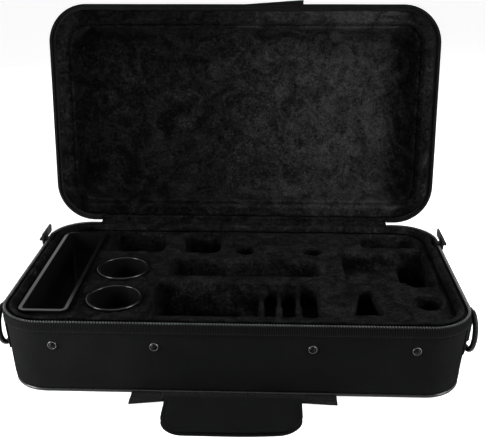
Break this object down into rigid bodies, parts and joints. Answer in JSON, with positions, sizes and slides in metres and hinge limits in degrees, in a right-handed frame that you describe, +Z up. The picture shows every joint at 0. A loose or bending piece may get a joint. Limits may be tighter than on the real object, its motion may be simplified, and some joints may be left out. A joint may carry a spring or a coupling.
{
  "type": "soft double clarinet case",
  "caption": "Rectangular cloth-covered instrument case with a zip, hinged lid, fitted plush wells, an open box, round cups, carrying loops and strap rings.",
  "frame": {"origin": "middle of the underside's flat panel, where the base lies on the ground", "axes": "+X along the case to the right seen from the front, +Y from the front to the hinge, +Z up"},
  "size_m": [0.4024, 0.334, 0.29],
  "materials": {
    "cover_cloth": "dense black woven nylon cloth",
    "webbing": "black ribbed webbing",
    "plush": "black brushed plush",
    "foam": "stiff black moulded foam",
    "piping": "glossy black piping",
    "box_plastic": "glossy black moulded plastic",
    "zip_coil": "dark grey nylon coil",
    "zip_tape": "black woven zip tape",
    "nickel": "nickel plate",
    "dark_metal": "black enamelled metal",
    "fastener": "black hook and loop tape"
  },
  "bodies": {
    "base": {"base_bottom_panel": "cover_cloth", "base_side_band": "cover_cloth", "base_shell": "foam", "base_piping": "piping", "base_floor_pad": "foam", "base_insert": "plush", "accessory_box": "box_plastic", "mouthpiece_cup_front": "box_plastic", "mouthpiece_cup_rear": "box_plastic", "base_rim_lip": "plush", "front_rivets": "nickel", "rivet_washers": "nickel", "rivet_burrs": "nickel", "zip_coil_base": "zip_coil", "zip_tape_base": "zip_tape", "hinge_cloth_lower": "cover_cloth", "hinge_strip_lower": "plush", "ring_tab_left": "webbing", "ring_tab_right": "webbing", "base_handle_stubs": "webbing"},
    "lid": {"lid_top_panel": "cover_cloth", "lid_side_band": "cover_cloth", "lid_shell": "foam", "lid_piping": "piping", "lid_lining": "plush", "zip_coil_lid": "zip_coil", "zip_tape_lid": "zip_tape", "hinge_cloth_upper": "cover_cloth", "hinge_strip_upper": "plush", "lid_handle_ends": "webbing"},
    "lid_handle": {"lid_handle_webbing": "webbing"},
    "slider_left": {"zip_slider_left": "dark_metal"},
    "slider_right": {"zip_slider_right": "dark_metal"},
    "pull_left": {"pull_tab_left": "dark_metal"},
    "pull_right": {"pull_tab_right": "dark_metal"},
    "ring_left": {"d_ring_left": "dark_metal"},
    "ring_right": {"d_ring_right": "dark_metal"},
    "base_handle": {"base_handle_webbing": "webbing", "handle_wrap_lower": "cover_cloth", "wrap_loop_strip": "fastener"},
    "wrap_flap": {"handle_wrap_upper": "cover_cloth", "wrap_hook_strip": "fastener"}
  },
  "joints": [
    {"name": "lid_hinge", "type": "hinge", "parent": "base", "child": "lid", "pos_m": [0, 0.1105, 0.07], "axis": [1, 0, 0], "range_deg": [0, 96.8]},
    {"name": "lid_handle_swing", "type": "hinge", "parent": "lid", "child": "lid_handle", "pos_m": [0, 0.16673, 0.24507], "axis": [-1, 0, 0], "range_deg": [0, 100]},
    {"name": "zip_left", "type": "slide", "parent": "base", "child": "slider_left", "axis": [0, -1, 0], "range_m": [0, 0.07]},
    {"name": "zip_right", "type": "slide", "parent": "base", "child": "slider_right", "axis": [0, -1, 0], "range_m": [0, 0.07]},
    {"name": "pull_swing_left", "type": "hinge", "parent": "slider_left", "child": "pull_left", "pos_m": [-0.19875, 0.06, 0.07], "axis": [0, 0, 1], "range_deg": [0, 175]},
    {"name": "pull_swing_right", "type": "hinge", "parent": "slider_right", "child": "pull_right", "pos_m": [0.19875, 0.06, 0.07], "axis": [0, 0, -1], "range_deg": [0, 175]},
    {"name": "ring_swing_left", "type": "hinge", "parent": "base", "child": "ring_left", "pos_m": [-0.19688, -0.064, 0.04574], "axis": [0.0712, 0, -0.9975], "range_deg": [0, 158]},
    {"name": "ring_swing_right", "type": "hinge", "parent": "base", "child": "ring_right", "pos_m": [0.19688, -0.064, 0.04574], "axis": [0.0712, 0, 0.9975], "range_deg": [0, 158]},
    {"name": "base_handle_swing", "type": "hinge", "parent": "base", "child": "base_handle", "pos_m": [0, -0.11414, 0.0018], "axis": [1, 0, 0], "range_deg": [-80, 0]},
    {"name": "wrap_flap_fold", "type": "hinge", "parent": "base_handle", "child": "wrap_flap", "pos_m": [0, -0.11414, 0.0045], "axis": [-1, 0, 0], "range_deg": [0, 90]}
  ]
}
